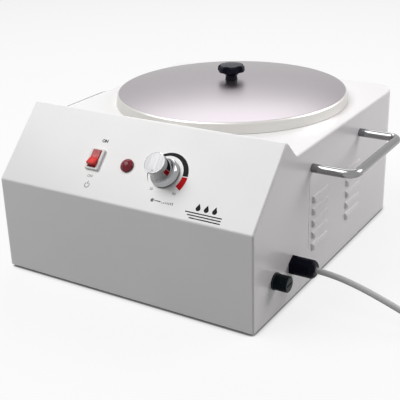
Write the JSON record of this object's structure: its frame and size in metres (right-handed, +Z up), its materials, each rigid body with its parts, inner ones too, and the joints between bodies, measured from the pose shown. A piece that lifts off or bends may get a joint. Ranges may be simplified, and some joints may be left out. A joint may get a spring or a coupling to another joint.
{
  "type": "wax heater",
  "caption": "Table-top wax heater: folded steel casing with a sloping control console, a heated well with a lift-out pot under a domed lid, bar handles and a mains cord",
  "frame": {"origin": "on the table, under the middle of the casing and handles", "axes": "+X to the right across both handles, +Y to the back, away from the console, +Z up"},
  "size_m": [0.6072, 0.36, 0.1898],
  "materials": {
    "white_paint": "gloss",
    "zinc_plate": "satin",
    "zinc_screw": "satin",
    "foot_rubber": "matte",
    "well_steel": "satin",
    "cast_aluminium": "rough",
    "element_steel": "oxidised",
    "black_moulding": "matte",
    "mineral_fibre": "matte",
    "dark_phenolic": "satin",
    "brushed_shaft": "satin",
    "knob_chrome": "polished",
    "knob_satin": "satin",
    "copper_tube": "satin",
    "white_moulding": "gloss",
    "red_rocker": "gloss",
    "tinned_brass": "satin",
    "red_lens": "gloss",
    "spring_steel": "satin",
    "black_cap": "satin",
    "fuse_glass": "clear",
    "fuse_ends": "satin",
    "black_nylon": "satin",
    "seal_rubber": "matte",
    "handle_chrome": "polished",
    "ferrule_chrome": "polished",
    "block_ceramic": "satin",
    "pot_aluminium": "satin",
    "lid_aluminium": "satin",
    "black_knob": "gloss",
    "grey_cord": "satin",
    "grey_plug": "satin",
    "plated_pins": "polished"
  },
  "bodies": {
    "chassis": {"base_plate": "zinc_plate", "base_screws": "zinc_screw", "block_screws": "zinc_screw", "casing": "white_paint", "clamp_nuts": "zinc_screw", "clamp_studs": "zinc_screw", "element_clamp": "zinc_plate", "foot_front_left": "foot_rubber", "foot_front_right": "foot_rubber", "foot_rear_left": "foot_rubber", "foot_rear_right": "foot_rubber", "fuse_holder": "black_moulding", "fuse_holder_nut": "black_moulding", "gland_body": "black_nylon", "gland_dome": "black_nylon", "gland_locknut": "black_nylon", "gland_seal": "seal_rubber", "handle_ferrules": "ferrule_chrome", "handle_left": "handle_chrome", "handle_right": "handle_chrome", "handle_screws": "zinc_screw", "handle_washers": "zinc_screw", "heat_spreader": "cast_aluminium", "heating_element": "element_steel", "insulation_wrap": "mineral_fibre", "lamp_body": "black_moulding", "lamp_clip": "spring_steel", "lamp_lens": "red_lens", "mains_cord": "grey_cord", "mains_cord_coil": "grey_cord", "mains_cord_tail": "grey_cord", "plug_body": "grey_plug", "plug_pins": "plated_pins", "switch_housing": "white_moulding", "switch_terminals": "tinned_brass", "terminal_block": "block_ceramic", "thermal_cutout": "black_moulding", "thermostat_body": "dark_phenolic", "thermostat_capillary": "copper_tube", "thermostat_nut": "zinc_screw", "well": "well_steel"},
    "pot": {"pot": "pot_aluminium"},
    "lid": {"lid": "lid_aluminium", "lid_knob": "black_knob", "lid_knob_washer": "zinc_screw", "lid_knob_screw": "zinc_screw"},
    "thermostat_knob": {"thermostat_knob": "knob_chrome", "knob_face": "knob_satin", "thermostat_spindle": "brushed_shaft"},
    "switch_rocker": {"switch_rocker": "red_rocker"},
    "fuse_carrier": {"fuse_carrier": "black_moulding", "fuse_link": "fuse_glass", "fuse_link_ends": "fuse_ends"},
    "fuse_cap": {"fuse_cap": "black_cap"}
  },
  "joints": [
    {"name": "pot_lift", "type": "slide", "parent": "chassis", "child": "pot", "axis": [0, 0, 1], "range_m": [0, 0.15]},
    {"name": "lid_lift", "type": "slide", "parent": "pot", "child": "lid", "axis": [0, 0, 1], "range_m": [0, 0.06]},
    {"name": "thermostat_turn", "type": "hinge", "parent": "chassis", "child": "thermostat_knob", "pos_m": [0.04, -0.15109, 0.13235], "axis": [0, 0.7124, -0.7018], "range_deg": [0, 300]},
    {"name": "rocker_tip", "type": "hinge", "parent": "chassis", "child": "switch_rocker", "pos_m": [-0.0436, -0.15037, 0.13165], "axis": [1, 0, 0], "range_deg": [0, 24]},
    {"name": "fuse_draw", "type": "slide", "parent": "chassis", "child": "fuse_carrier", "axis": [1, 0, 0], "range_m": [0, 0.035]},
    {"name": "fuse_cap_turn", "type": "hinge", "parent": "fuse_carrier", "child": "fuse_cap", "pos_m": [0.1523, -0.1375, 0.039], "axis": [1, 0, 0], "range_deg": [0, 90]}
  ]
}
